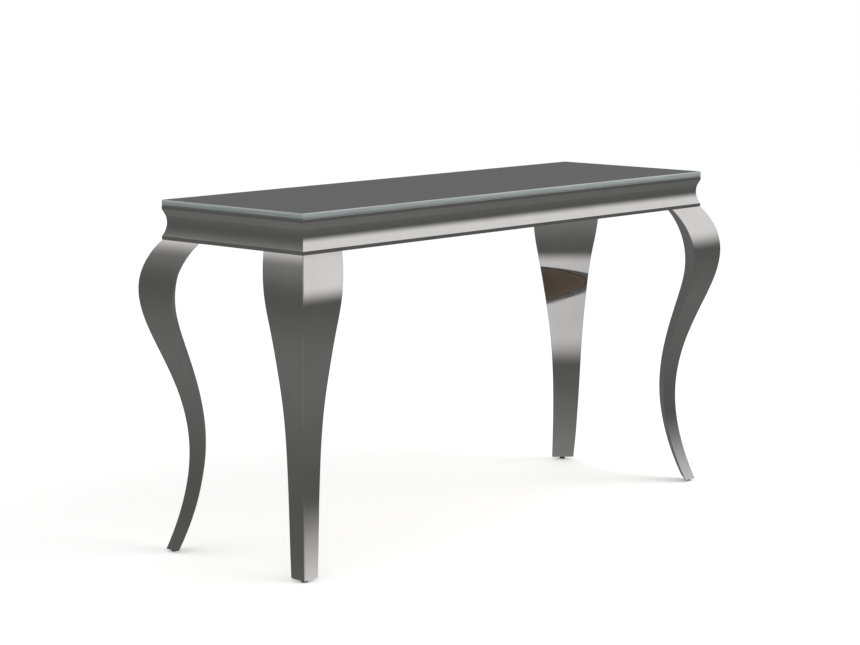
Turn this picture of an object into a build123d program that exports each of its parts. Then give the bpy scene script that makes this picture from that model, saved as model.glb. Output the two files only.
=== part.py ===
from build123d import *
import os
from math import sqrt

# Console table with a painted-glass top, a moulded stainless apron and four
# S-curved hollow stainless legs of triangular section.
#
# Frame: millimetres, origin on the floor under the middle of the table,
# +X along the length, -Y is the front, +Z is up.
#
# Most sub-parts are drawn once for the front-left corner in inset distances:
# u is the distance in from the left end of the glass, v the distance in from
# its front edge. They are then mirrored to the other corners.

# ---- overall size -------------------------------------------------------
LENGTH = 1400.0
DEPTH = 430.0
HEIGHT = 780.0

# ---- heights of the layers, floor to glass ------------------------------
FOOT_GAP = 5.0                       # floor to the underside of the leg
APRON_HEIGHT = 75.0
GLASS_THICK = 12.0
GLASS_BOTTOM = HEIGHT - GLASS_THICK
APRON_BOTTOM = GLASS_BOTTOM - APRON_HEIGHT
APRON_TOP = GLASS_BOTTOM - 0.3       # hairline shadow gap under the glass

# ---- glass top ----------------------------------------------------------
GLASS_CORNER_RADIUS = 1.5
GLASS_ARRIS = 0.8
PAD_RADIUS = 6.0
PAD_THICK = 2.0
PAD_COLUMNS = (-655.0, -330.0, 0.0, 330.0, 655.0)
PAD_ROWS = (-172.0, 172.0)

# ---- apron moulding, heights above its bottom edge ----------------------
SKIN = 1.5                           # stainless sheet
LOWER_FASCIA = 8.0
UPPER_FASCIA = 67.0                  # where the upper fascia starts
CREASE = (53.0, 6.0)                 # height, inset
COVE_DEEPEST = (39.5, 7.9)           # height, inset
TOP_FLANGE = 20.0
BOTTOM_FLANGE = 25.0
MITRE_REACH = 60.0

# ---- rails, deck and their screws ---------------------------------------
RAIL_INSET = 9.5
RAIL_THICK = 22.0
RAIL_INNER = RAIL_INSET + RAIL_THICK
DECK_THICK = 12.0
DECK_INSET = 6.0
DECK_BOTTOM = GLASS_BOTTOM - PAD_THICK - DECK_THICK
CROSS_RAIL_X = (-230.0, 230.0)
CROSS_RAIL_THICK = 18.0
DECK_SCREW_INSET = 24.5
DECK_SCREW_X = (-560.0, -280.0, 0.0, 280.0, 560.0)
DECK_SCREW_RADIUS = 2.0
DECK_SCREW_LENGTH = 32.0
RAIL_SCREW_RADIUS = 2.5
RAIL_SCREW_LENGTH = 55.0
RAIL_SCREW_RISE = (14.0, 38.0)       # above the rail's underside

# ---- corner brackets and leg fixings ------------------------------------
BRACKET_THICK = 4.0
BRACKET_REACH = 150.0
BRACKET_CLEAR = 2.0                  # inset of its two outer edges
TAB_THICK = 3.0
TAB_START = 38.0
TAB_END = 112.0
TAB_TOP = APRON_BOTTOM + 47.0
BRACKET_BOTTOM = APRON_BOTTOM + SKIN
RAIL_BOTTOM = BRACKET_BOTTOM + BRACKET_THICK
TAB_SCREW_ALONG = (62.0, 98.0)
TAB_SCREW_RISE = 32.0                # above the apron's bottom edge
TAB_SCREW_RADIUS = 2.0
TAB_SCREW_LENGTH = 16.0
LEG_BOLTS = ((44.0, 44.0), (62.0, 44.0), (44.0, 62.0))
LEG_BOLT_RADIUS = 4.0
LEG_BOLT_HOLE = 4.5
LEG_BOLT_RISE = 14.0                 # stud length above the bracket
WASHER_RADIUS = 8.0
WASHER_THICK = 1.6
NUT_ACROSS_FLATS = 13.0
NUT_HEIGHT = 6.5

# ---- legs ---------------------------------------------------------------
LEG_WALL = 2.0
LEG_OUTER_EDGE_RADIUS = 1.8
LEG_SIDE_EDGE_RADIUS = 0.8
LEG_HEIGHT = APRON_BOTTOM - FOOT_GAP
CAP_HEIGHT = 10.0
CAP_TOE_RADIUS = 6.5
LEG_PLATE_THICK = 5.0
# Outer corner edge of the leg: height above its foot, inset from the corner.
LEG_OUTER = (
    (0, 0.0), (110, 27.2), (230, 37.6), (350, 21.8), (450, -8.7),
    (530, -32.2), (600, -36.5), (655, -20.5), (LEG_HEIGHT, 0.0),
)
# Flat inner side of the leg: height above its foot, value of u + v.
LEG_INNER = (
    (0, 41.0), (110, 100.3), (230, 126.5), (350, 106.0), (450, 63.1),
    (530, 34.5), (600, 43.1), (655, 79.1), (LEG_HEIGHT, 118.0),
)

# ---- levelling feet -----------------------------------------------------
FOOT_INSET = 13.2
STUD_RADIUS = 3.0
STUD_BORE = 3.05                     # running clearance in the cap
STUD_TOP = 32.0                      # height above the floor, foot home
BOSS_RADIUS = 6.5
BOSS_TOP = 24.0
FOOT_PAD_RADIUS = 7.0
FOOT_PAD_THICK = 2.5
SOCKET_DEPTH = 1.3
SOCKET_CLEARANCE = 0.05
HEX_ACROSS_FLATS = 10.0

CORNERS = ("front_left", "front_right", "back_left", "back_right")


# ---- small helpers ------------------------------------------------------
def left_front(u, v):
    """Row x and y of a point given by its insets at the front-left corner."""
    return (-LENGTH / 2 + u, -DEPTH / 2 + v)


def block(x0, x1, y0, y1, z0, z1):
    """Box between two limits on each axis."""
    middle = ((x0 + x1) / 2, (y0 + y1) / 2, (z0 + z1) / 2)
    return Pos(*middle) * Box(x1 - x0, y1 - y0, z1 - z0)


def rod(x, y, z0, z1, radius):
    """Upright cylinder between two heights."""
    return Pos(x, y, (z0 + z1) / 2) * Cylinder(radius, z1 - z0)


def ring(x, y, z0, z1, outer, inner):
    """Upright washer between two heights."""
    return rod(x, y, z0, z1, outer) - rod(x, y, z0 - 1, z1 + 1, inner)


def hexagon(x, y, z0, z1, across_flats):
    """Upright hexagonal prism between two heights."""
    outline = Plane.XY.offset(z0) * Pos(x, y) * RegularPolygon(across_flats / sqrt(3), 6)
    return extrude(outline, z1 - z0)


def corner_prism(insets, z0, z1):
    """Upright prism whose outline is given as inset points of the front-left corner."""
    points = [left_front(u, v) for u, v in insets]
    outline = make_face(Polyline(*points, close=True))
    return extrude(Pos(0, 0, z0) * outline, z1 - z0)


def at_corner(shape, corner):
    """The front-left shape mirrored to the named corner."""
    if "right" in corner:
        shape = shape.mirror(Plane.YZ)
    if "back" in corner:
        shape = shape.mirror(Plane.XZ)
    return shape


def at_every_corner(shapes):
    """A list of front-left shapes repeated at all four corners."""
    return [at_corner(shape, corner) for corner in CORNERS for shape in shapes]


def screw(radius, length, head_radius, head_height):
    """Countersunk screw pointing down -Z with the top of its head at the origin."""
    head = Pos(0, 0, -head_height / 2) * Cone(radius, head_radius, head_height)
    shank_length = length - head_height
    shank = Pos(0, 0, -head_height - shank_length / 2) * Cylinder(radius, shank_length)
    return head + shank


def pan_screw(radius, length, head_radius, head_height):
    """Pan-head screw pointing down -Z, seated on the plane z = 0."""
    head = Pos(0, 0, head_height / 2) * Cylinder(head_radius, head_height)
    head = fillet(head.edges().sort_by(Axis.Z)[-1], head_height * 0.6)
    shank = Pos(0, 0, -length / 2) * Cylinder(radius, length)
    return head + shank


def save(shape, node):
    """Write one node's STEP file."""
    if isinstance(shape, list):
        shape = Compound(children=shape)
    export_step(shape, f"parts/{node}.step")


# ---- glass and what it sits on ------------------------------------------
def glass_top():
    slab = block(-LENGTH / 2, LENGTH / 2, -DEPTH / 2, DEPTH / 2, GLASS_BOTTOM, HEIGHT)
    slab = fillet(slab.edges().filter_by(Axis.Z), GLASS_CORNER_RADIUS)
    rims = slab.edges().group_by(Axis.Z)[0] + slab.edges().group_by(Axis.Z)[-1]
    return chamfer(rims, GLASS_ARRIS)


def glass_pads():
    bottom = GLASS_BOTTOM - PAD_THICK
    return [
        rod(x, y, bottom, GLASS_BOTTOM, PAD_RADIUS)
        for x in PAD_COLUMNS
        for y in PAD_ROWS
    ]


def deck_screws():
    side = DEPTH / 2 - DECK_SCREW_INSET
    end = LENGTH / 2 - DECK_SCREW_INSET
    places = [(x, y) for x in DECK_SCREW_X for y in (-side, side)]
    places += [(-end, 0), (end, 0)]
    places += [(x, 0) for x in CROSS_RAIL_X]
    top = DECK_BOTTOM + DECK_THICK
    pattern = screw(DECK_SCREW_RADIUS, DECK_SCREW_LENGTH, 3.9, 2.2)
    return [Pos(x, y, top) * pattern for x, y in places]


def deck_board(screws):
    x = LENGTH / 2 - DECK_INSET
    y = DEPTH / 2 - DECK_INSET
    board = block(-x, x, -y, y, DECK_BOTTOM, DECK_BOTTOM + DECK_THICK)
    return board - screws


# ---- apron --------------------------------------------------------------
def apron_profile():
    """Cross-section of the moulding in the (inset, height) plane, flanges inward."""
    low = APRON_BOTTOM
    top = APRON_TOP
    crease = (CREASE[1], low + CREASE[0])
    deepest = (COVE_DEEPEST[1], low + COVE_DEEPEST[0])
    outside = [
        Line((0, low), (0, low + LOWER_FASCIA)),
        ThreePointArc((0, low + LOWER_FASCIA), deepest, crease),
        Line(crease, (0, low + UPPER_FASCIA)),
        Line((0, low + UPPER_FASCIA), (0, top)),
        Line((0, top), (TOP_FLANGE, top)),
    ]
    inner_crease = (crease[0] + SKIN, crease[1])
    inner_deepest = (deepest[0] + SKIN, deepest[1])
    inside = [
        Line((TOP_FLANGE, top), (TOP_FLANGE, top - SKIN)),
        Line((TOP_FLANGE, top - SKIN), (SKIN, top - SKIN)),
        Line((SKIN, top - SKIN), (SKIN, low + UPPER_FASCIA)),
        Line((SKIN, low + UPPER_FASCIA), inner_crease),
        ThreePointArc(inner_crease, inner_deepest, (SKIN, low + LOWER_FASCIA)),
        Line((SKIN, low + LOWER_FASCIA), (SKIN, low + SKIN)),
        Line((SKIN, low + SKIN), (BOTTOM_FLANGE, low + SKIN)),
        Line((BOTTOM_FLANGE, low + SKIN), (BOTTOM_FLANGE, low)),
        Line((BOTTOM_FLANGE, low), (0, low)),
    ]
    return make_face(Wire(outside + inside))


def mitred_moulding(run):
    """Moulding of the given length along X, its outer face on y = 0, mitred at both ends."""
    start = Plane(origin=(-run / 2, 0, 0), x_dir=(0, 1, 0), z_dir=(1, 0, 0))
    bar = extrude(start * apron_profile(), run)
    half = run / 2
    plan = Polyline(
        (-half, 0), (half, 0), (half - MITRE_REACH, MITRE_REACH),
        (-half + MITRE_REACH, MITRE_REACH), close=True,
    )
    wedge = extrude(Pos(0, 0, APRON_BOTTOM - 1) * make_face(plan), APRON_HEIGHT + 2)
    return bar & wedge


def apron_sides():
    long_side = mitred_moulding(LENGTH)
    short_side = mitred_moulding(DEPTH)
    front = Pos(0, -DEPTH / 2, 0) * long_side
    left = Pos(-LENGTH / 2, 0, 0) * Rot(0, 0, -90) * short_side
    return {
        "apron_front": front,
        "apron_back": front.mirror(Plane.XZ),
        "apron_left": left,
        "apron_right": left.mirror(Plane.YZ),
    }


# ---- rails --------------------------------------------------------------
def rail_screws():
    """Countersunk screws through the long rails into the end and cross rails."""
    end_x = LENGTH / 2 - RAIL_INSET - RAIL_THICK / 2
    columns = (-end_x, *CROSS_RAIL_X, end_x)
    pattern = Rot(90, 0, 0) * screw(RAIL_SCREW_RADIUS, RAIL_SCREW_LENGTH, 4.5, 2.6)
    face = -DEPTH / 2 + RAIL_INSET
    front = [
        Pos(x, face, RAIL_BOTTOM + rise) * pattern
        for x in columns
        for rise in RAIL_SCREW_RISE
    ]
    return front + [one.mirror(Plane.XZ) for one in front]


def rails(screws):
    """Long, end and cross rails with their screw holes cut."""
    half_x = LENGTH / 2
    half_y = DEPTH / 2
    inner_y = half_y - RAIL_INNER
    low = RAIL_BOTTOM
    top = DECK_BOTTOM
    front = block(
        -half_x + RAIL_INSET, half_x - RAIL_INSET,
        -half_y + RAIL_INSET, -inner_y, low, top,
    )
    left = block(
        -half_x + RAIL_INSET, -half_x + RAIL_INNER, -inner_y, inner_y, low, top,
    )
    plain = {
        "rail_front": front,
        "rail_back": front.mirror(Plane.XZ),
        "rail_left": left,
        "rail_right": left.mirror(Plane.YZ),
    }
    for name, x in zip(("cross_rail_left", "cross_rail_right"), CROSS_RAIL_X):
        half = CROSS_RAIL_THICK / 2
        plain[name] = block(x - half, x + half, -inner_y, inner_y, low, top)
    return {name: rail - screws for name, rail in plain.items()}


# ---- corner brackets ----------------------------------------------------
def tab_screws():
    """Screws of the front-left bracket, through its upright tabs into the rails."""
    face = RAIL_INNER + TAB_THICK
    height = APRON_BOTTOM + TAB_SCREW_RISE
    pattern = pan_screw(TAB_SCREW_RADIUS, TAB_SCREW_LENGTH, 3.8, 2.4)
    into_front = Rot(-90, 0, 0) * pattern
    into_left = Rot(0, 90, 0) * pattern
    screws = []
    for along in TAB_SCREW_ALONG:
        screws.append(Pos(*left_front(along, face), height) * into_front)
        screws.append(Pos(*left_front(face, along), height) * into_left)
    return screws


def corner_bracket(screws):
    """Front-left bracket: a triangular base with one upright tab along each rail."""
    near = BRACKET_CLEAR
    far = BRACKET_REACH - BRACKET_CLEAR
    outline = ((near, near), (far, near), (near, far))
    shape = corner_prism(outline, BRACKET_BOTTOM, RAIL_BOTTOM)
    back = RAIL_INNER
    face = RAIL_INNER + TAB_THICK
    tab = ((TAB_START, back), (TAB_END, back), (TAB_END, face), (TAB_START, face))
    other_tab = tuple((v, u) for u, v in tab)
    shape += corner_prism(tab, RAIL_BOTTOM, TAB_TOP)
    shape += corner_prism(other_tab, RAIL_BOTTOM, TAB_TOP)
    for u, v in LEG_BOLTS:
        shape -= rod(*left_front(u, v), BRACKET_BOTTOM - 1, RAIL_BOTTOM + 1, LEG_BOLT_HOLE)
    return shape - screws


def leg_washers():
    return [
        ring(*left_front(u, v), RAIL_BOTTOM, RAIL_BOTTOM + WASHER_THICK,
             WASHER_RADIUS, LEG_BOLT_RADIUS + 0.2)
        for u, v in LEG_BOLTS
    ]


def leg_nuts():
    low = RAIL_BOTTOM + WASHER_THICK
    nuts = []
    for u, v in LEG_BOLTS:
        x, y = left_front(u, v)
        nut = hexagon(x, y, low, low + NUT_HEIGHT, NUT_ACROSS_FLATS)
        nuts.append(nut - rod(x, y, low - 1, low + NUT_HEIGHT + 1, LEG_BOLT_RADIUS))
    return nuts


# ---- legs ---------------------------------------------------------------
def curve_through(points, start, end):
    """Smooth side face outline: a spline closed by straight lines at the start and end."""
    edges = Spline(*points) + Polyline(points[-1], end, start, points[0])
    return make_face(edges)


def leg_solid(wall):
    """Leg with flat ends, its three sides moved in by the wall; 0 gives the outside."""
    outer = [(inset + wall, FOOT_GAP + height) for height, inset in LEG_OUTER]
    inner = [
        (total / sqrt(2) - wall, FOOT_GAP + height) for height, total in LEG_INNER
    ]
    low = FOOT_GAP
    top = APRON_BOTTOM
    side = curve_through(outer, (260, low), (260, top))
    slope = curve_through(inner, (-120, low), (-120, top))
    toe = slope.vertices().sort_by_distance((*inner[0], 0))[0]
    slope = fillet(toe, CAP_TOE_RADIUS)
    corner = (*left_front(0, 0), 0)
    along_u = Plane(origin=corner, x_dir=(1, 0, 0), z_dir=(0, -1, 0))
    along_v = Plane(origin=corner, x_dir=(0, 1, 0), z_dir=(1, 0, 0))
    diagonal = Plane(origin=corner, x_dir=(1, 1, 0), z_dir=(1, -1, 0))
    end_face = extrude(along_u.offset(-300) * side, 600)
    front_face = extrude(along_v.offset(-300) * side, 600)
    inner_face = extrude(diagonal.offset(-400) * slope, 800)
    return end_face & front_face & inner_face


def off_diagonal(edge):
    """How far an edge's middle lies from the corner's diagonal plane."""
    middle = edge.center()
    return abs((middle.X + LENGTH / 2) - (middle.Y + DEPTH / 2))


def leg_outside():
    """Outside of the leg with its three long edges polished slightly round."""
    solid = leg_solid(0)
    long_edges = solid.edges().sort_by(Edge.length)[-3:]
    solid = fillet(long_edges.sort_by(off_diagonal)[0], LEG_OUTER_EDGE_RADIUS)
    long_edges = solid.edges().filter_by(lambda edge: edge.length > LEG_HEIGHT)
    return fillet(long_edges.sort_by(off_diagonal)[-2:], LEG_SIDE_EDGE_RADIUS)


def slice_between(shape, z0, z1):
    """The part of a front-left shape between two heights."""
    return shape & corner_prism(((-90, -90), (260, -90), (260, 260), (-90, 260)), z0, z1)


def leg_shell(outside, cavity):
    """Welded sheet leg, open at both ends, standing on its foot cap."""
    shell_bottom = FOOT_GAP + CAP_HEIGHT
    return slice_between(outside, shell_bottom, APRON_BOTTOM) - cavity


def leg_plate(cavity):
    """Plate welded inside the top of the leg, with three studs up through the bracket."""
    plate = slice_between(cavity, APRON_BOTTOM - LEG_PLATE_THICK, APRON_BOTTOM)
    for u, v in LEG_BOLTS:
        x, y = left_front(u, v)
        plate += rod(x, y, APRON_BOTTOM, RAIL_BOTTOM + LEG_BOLT_RISE, LEG_BOLT_RADIUS)
    return plate


def foot_cap(outside, cavity):
    """Solid toe that closes the leg, with a threaded boss standing up inside it."""
    toe = slice_between(outside, FOOT_GAP, FOOT_GAP + CAP_HEIGHT)
    x, y = left_front(FOOT_INSET, FOOT_INSET)
    cap = toe + (rod(x, y, FOOT_GAP + CAP_HEIGHT, BOSS_TOP, BOSS_RADIUS) & cavity)
    return cap - rod(x, y, 0, BOSS_TOP + 1, STUD_BORE)


# ---- levelling feet -----------------------------------------------------
def foot_stud():
    """Stud with a hexagonal collar; its blunt lower end turns in the pad."""
    x, y = left_front(FOOT_INSET, FOOT_INSET)
    stud = rod(x, y, FOOT_PAD_THICK - SOCKET_DEPTH, STUD_TOP, STUD_RADIUS)
    return stud + hexagon(x, y, FOOT_PAD_THICK, FOOT_GAP, HEX_ACROSS_FLATS)


def foot_pad():
    """Round pad with a blind socket for the stud."""
    x, y = left_front(FOOT_INSET, FOOT_INSET)
    pad = rod(x, y, 0, FOOT_PAD_THICK, FOOT_PAD_RADIUS)
    pad = chamfer(pad.edges().group_by(Axis.Z)[0], 0.4)
    socket_bottom = FOOT_PAD_THICK - SOCKET_DEPTH
    socket_radius = STUD_RADIUS + SOCKET_CLEARANCE
    return pad - rod(x, y, socket_bottom, FOOT_PAD_THICK + 1, socket_radius)


# ---- build and save -----------------------------------------------------
def build():
    os.makedirs("parts", exist_ok=True)

    save(glass_top(), "glass_top")
    save(glass_pads(), "glass_pads")
    deck_fixings = deck_screws()
    save(deck_board(deck_fixings), "deck_board")
    save(deck_fixings, "deck_screws")

    for name, moulding in apron_sides().items():
        save(moulding, name)

    rail_fixings = rail_screws()
    bracket_fixings = tab_screws()
    every_bracket_fixing = at_every_corner(bracket_fixings)
    save(rail_fixings, "rail_screws")
    save(every_bracket_fixing, "bracket_screws")
    for name, rail in rails(rail_fixings + deck_fixings + every_bracket_fixing).items():
        save(rail, name)

    outside = leg_outside()
    cavity = leg_solid(LEG_WALL)
    corner_parts = {
        "corner_bracket": corner_bracket(bracket_fixings),
        "leg": leg_shell(outside, cavity),
        "leg_plate": leg_plate(cavity),
        "foot_cap": foot_cap(outside, cavity),
        "foot_stud": foot_stud(),
        "foot_pad": foot_pad(),
    }
    for name, shape in corner_parts.items():
        for corner in CORNERS:
            save(at_corner(shape, corner), f"{name}_{corner}")
    save(at_every_corner(leg_washers()), "leg_washers")
    save(at_every_corner(leg_nuts()), "leg_nuts")


build()
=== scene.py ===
from math import asin, cos, pi, radians, sin, sqrt

import bpy
from mathutils import Matrix, Vector
from mathutils.geometry import tessellate_polygon


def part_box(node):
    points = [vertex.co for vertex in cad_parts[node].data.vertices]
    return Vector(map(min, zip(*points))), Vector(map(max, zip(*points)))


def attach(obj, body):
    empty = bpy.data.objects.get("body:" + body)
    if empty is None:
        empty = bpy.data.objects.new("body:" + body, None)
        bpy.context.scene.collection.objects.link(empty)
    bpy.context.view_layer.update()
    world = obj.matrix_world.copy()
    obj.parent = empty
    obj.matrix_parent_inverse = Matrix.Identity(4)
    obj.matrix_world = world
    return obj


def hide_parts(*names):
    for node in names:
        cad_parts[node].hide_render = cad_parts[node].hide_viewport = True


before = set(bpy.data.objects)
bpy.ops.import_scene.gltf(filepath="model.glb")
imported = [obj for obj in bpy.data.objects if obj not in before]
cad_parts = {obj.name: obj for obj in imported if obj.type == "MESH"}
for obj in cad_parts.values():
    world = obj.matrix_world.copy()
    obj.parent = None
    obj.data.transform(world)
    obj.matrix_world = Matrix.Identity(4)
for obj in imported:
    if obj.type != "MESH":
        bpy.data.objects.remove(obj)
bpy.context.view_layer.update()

# Console table: painted glass top, coved stainless apron, S-curved hollow
# stainless legs of triangular section, levelling feet. Metres, floor at z = 0,
# +X along the length, -Y is the front.

MM = 0.001
CORNERS = ("front_left", "front_right", "back_left", "back_right")

# ---- places read from the CAD nodes --------------------------------------
GLASS_LOW, GLASS_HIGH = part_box("glass_top")
HALF_LENGTH = GLASS_HIGH.x
HALF_DEPTH = GLASS_HIGH.y
APRON_LOW, APRON_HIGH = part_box("apron_front")
TOE_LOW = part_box("foot_cap_front_left")[0]
LEG_LOW, LEG_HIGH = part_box("leg_front_left")
DECK_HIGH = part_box("deck_board")[1]
PAD_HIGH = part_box("foot_pad_front_left")[1]
STUD_LOW, STUD_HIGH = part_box("foot_stud_front_left")
RAIL_LOW, RAIL_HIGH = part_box("rail_front")
LEG_FOOT = TOE_LOW.z

# ---- leg outlines, millimetres above the foot ----------------------------
LEG_OUTER = (
    (0, 0.0), (110, 27.2), (230, 37.6), (350, 21.8), (450, -8.7),
    (530, -32.2), (600, -36.5), (655, -20.5), (688, 0.0),
)
LEG_INNER = (
    (0, 41.0), (110, 100.3), (230, 126.5), (350, 106.0), (450, 63.1),
    (530, 34.5), (600, 43.1), (655, 79.1), (688, 118.0),
)
OUTER_EDGE_RADIUS = 1.8
SIDE_EDGE_RADIUS = 0.8
TOE_RADIUS = 6.5
LEG_RINGS = 170
TOE_RINGS = 10
BORE_RADIUS = 3.05

# ---- apron moulding, millimetres above its bottom edge -------------------
LOWER_FASCIA = 8.0
UPPER_FASCIA = 67.0
CREASE = (53.0, 6.0)
COVE_DEEPEST = (39.5, 7.9)
TOP_FLANGE = 20.0
BOTTOM_FLANGE = 25.0
SKIN = 1.5
COVE_STEPS = 30

# ---- levelling feet ------------------------------------------------------
FOOT_INSET = 13.2
STUD_RADIUS = 3.0
THREAD_PITCH = 1.0
THREAD_DEPTH = 0.45
PAD_RADIUS = 7.0
COLLAR_FLATS = 10.0


# ==========================================================================
# Node graphs
# ==========================================================================
class Graph:
    """Adds nodes to a tree and wires them in one call."""

    def __init__(self, tree):
        self.tree = tree

    def add(self, kind, inputs=None, **settings):
        node = self.tree.nodes.new(kind)
        for name, value in settings.items():
            setattr(node, name, value)
        for key, value in (inputs or {}).items():
            self.feed(node.inputs[key], value)
        return node

    def feed(self, socket, value):
        if isinstance(value, bpy.types.NodeSocket):
            self.tree.links.new(value, socket)
        else:
            socket.default_value = value

    def math(self, operation, *values):
        node = self.add("ShaderNodeMath", operation=operation)
        for index, value in enumerate(values):
            self.feed(node.inputs[index], value)
        return node.outputs[0]

    def mix(self, factor, a, b, blend="MIX"):
        node = self.add("ShaderNodeMix", data_type="RGBA", blend_type=blend)
        self.feed(node.inputs["Factor"], factor)
        self.feed(node.inputs["A"], a)
        self.feed(node.inputs["B"], b)
        return node.outputs["Result"]

    def remap(self, value, low, high, to_low, to_high, smooth=False):
        node = self.add("ShaderNodeMapRange")
        if smooth:
            node.interpolation_type = "SMOOTHSTEP"
        values = (value, low, high, to_low, to_high)
        for name, item in zip(("Value", "From Min", "From Max", "To Min", "To Max"), values):
            self.feed(node.inputs[name], item)
        return node.outputs["Result"]

    def noise(self, vector, scale, detail=2.0, roughness=0.5):
        node = self.add(
            "ShaderNodeTexNoise",
            {"Vector": vector, "Scale": scale, "Detail": detail, "Roughness": roughness},
        )
        return node.outputs["Fac"]

    def stretched(self, vector, scale):
        node = self.add("ShaderNodeMapping", {"Vector": vector, "Scale": scale})
        return node.outputs["Vector"]


def grey(value):
    """Linear grey of one value."""
    return (value, value, value, 1.0)


def new_group(name, kind, inputs, outputs):
    """Node group with named sockets: (name, type, default) in, (name, type) out."""
    group = bpy.data.node_groups.new(name, kind)
    for socket_name, socket_type, default in inputs:
        socket = group.interface.new_socket(
            name=socket_name, in_out="INPUT", socket_type=socket_type
        )
        if default is not None:
            socket.default_value = default
    for socket_name, socket_type in outputs:
        group.interface.new_socket(name=socket_name, in_out="OUTPUT", socket_type=socket_type)
    graph = Graph(group)
    given = graph.add("NodeGroupInput").outputs
    result = graph.add("NodeGroupOutput").inputs
    return group, graph, given, result


FLOAT = "NodeSocketFloat"
COLOUR = "NodeSocketColor"
VECTOR = "NodeSocketVector"
GEOMETRY = "NodeSocketGeometry"
OBJECT = "NodeSocketObject"
MATERIAL = "NodeSocketMaterial"
INTEGER = "NodeSocketInt"


# ==========================================================================
# Shared shader effects
# ==========================================================================
def polished_sheet_group():
    """Mirror-polished sheet: slow hand-polish waves, fine streaks, a breath of haze."""
    group, graph, given, result = new_group(
        "polished_sheet", "ShaderNodeTree",
        [
            ("Vector", VECTOR, None), ("Streak Stretch", VECTOR, (1.0, 1.0, 1.0)),
            ("Wave Scale", FLOAT, 9.0), ("Streak Scale", FLOAT, 260.0),
            ("Smooth", FLOAT, 0.02), ("Haze", FLOAT, 0.055),
        ],
        [("Roughness", FLOAT), ("Wave", FLOAT), ("Streak", FLOAT), ("Tone", FLOAT)],
    )
    wave = graph.noise(given["Vector"], given["Wave Scale"], 1.0, 0.35)
    scaled = graph.add("ShaderNodeVectorMath", operation="MULTIPLY")
    graph.feed(scaled.inputs[0], given["Vector"])
    graph.feed(scaled.inputs[1], given["Streak Stretch"])
    streak = graph.noise(scaled.outputs[0], given["Streak Scale"], 3.0, 0.6)
    smudge = graph.noise(given["Vector"], 14.0, 3.0, 0.55)
    patch = graph.remap(smudge, 0.45, 0.75, 0.0, 1.0, smooth=True)
    lines = graph.remap(streak, 0.35, 0.85, 0.0, 0.55)
    haze = graph.math("MULTIPLY", graph.math("ADD", patch, lines), given["Haze"])
    graph.feed(result["Roughness"], graph.math("ADD", given["Smooth"], haze))
    graph.feed(result["Wave"], wave)
    graph.feed(result["Streak"], streak)
    graph.feed(result["Tone"], graph.remap(smudge, 0.2, 0.8, 0.94, 1.04))
    return group


def zinc_bloom_group():
    """Bright zinc plate: crystalline mottling and a faint blue to straw shift."""
    group, graph, given, result = new_group(
        "zinc_bloom", "ShaderNodeTree",
        [
            ("Vector", VECTOR, None), ("Scale", FLOAT, 60.0),
            ("Pale", COLOUR, grey(0.62)), ("Dull", COLOUR, grey(0.42)),
        ],
        [("Color", COLOUR), ("Roughness", FLOAT), ("Height", FLOAT)],
    )
    cells = graph.add(
        "ShaderNodeTexVoronoi", {"Vector": given["Vector"], "Scale": given["Scale"]}
    )
    cloud = graph.noise(given["Vector"], 35.0, 4.0, 0.6)
    blend = graph.math("MULTIPLY", cells.outputs["Distance"], cloud)
    amount = graph.remap(blend, 0.05, 0.4, 0.0, 1.0)
    graph.feed(result["Color"], graph.mix(amount, given["Pale"], given["Dull"]))
    graph.feed(result["Roughness"], graph.remap(cloud, 0.3, 0.7, 0.24, 0.42))
    graph.feed(result["Height"], blend)
    return group


def pressed_fibre_group():
    """Pressed fibreboard: fine felted fibres, darker flecks and paler dust."""
    group, graph, given, result = new_group(
        "pressed_fibre", "ShaderNodeTree",
        [
            ("Vector", VECTOR, None), ("Fibre Scale", FLOAT, 900.0),
            ("Board", COLOUR, grey(0.4)), ("Fleck", COLOUR, grey(0.2)),
            ("Dust", COLOUR, grey(0.6)),
        ],
        [("Color", COLOUR), ("Roughness", FLOAT), ("Height", FLOAT)],
    )
    fibre = graph.noise(given["Vector"], given["Fibre Scale"], 5.0, 0.7)
    fleck = graph.remap(graph.noise(given["Vector"], 420.0, 2.0), 0.62, 0.72, 0.0, 0.7)
    shade = graph.remap(graph.noise(given["Vector"], 5.0, 3.0), 0.3, 0.7, 0.0, 0.25)
    felted = graph.mix(graph.remap(fibre, 0.3, 0.7, 0.0, 0.35), given["Board"], given["Dust"])
    flecked = graph.mix(fleck, felted, given["Fleck"])
    graph.feed(result["Color"], graph.mix(shade, flecked, given["Dust"]))
    graph.feed(result["Roughness"], graph.remap(fibre, 0.3, 0.7, 0.72, 0.9))
    graph.feed(result["Height"], fibre)
    return group


def settled_dust_group():
    """Mask of the thin dust and faint wipe marks on an upward face."""
    group, graph, given, result = new_group(
        "settled_dust", "ShaderNodeTree",
        [("Vector", VECTOR, None), ("Speck Scale", FLOAT, 900.0), ("Amount", FLOAT, 0.3)],
        [("Specks", FLOAT), ("Wipe", FLOAT)],
    )
    fine = graph.noise(given["Vector"], given["Speck Scale"], 1.0)
    specks = graph.remap(fine, 0.72, 0.8, 0.0, 1.0)
    long_marks = graph.stretched(given["Vector"], (1.2, 7.0, 7.0))
    wipe = graph.remap(graph.noise(long_marks, 3.0, 4.0, 0.6), 0.4, 0.75, 0.0, 1.0)
    graph.feed(result["Specks"], graph.math("MULTIPLY", specks, given["Amount"]))
    graph.feed(result["Wipe"], graph.math("MULTIPLY", wipe, given["Amount"]))
    return group


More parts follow.
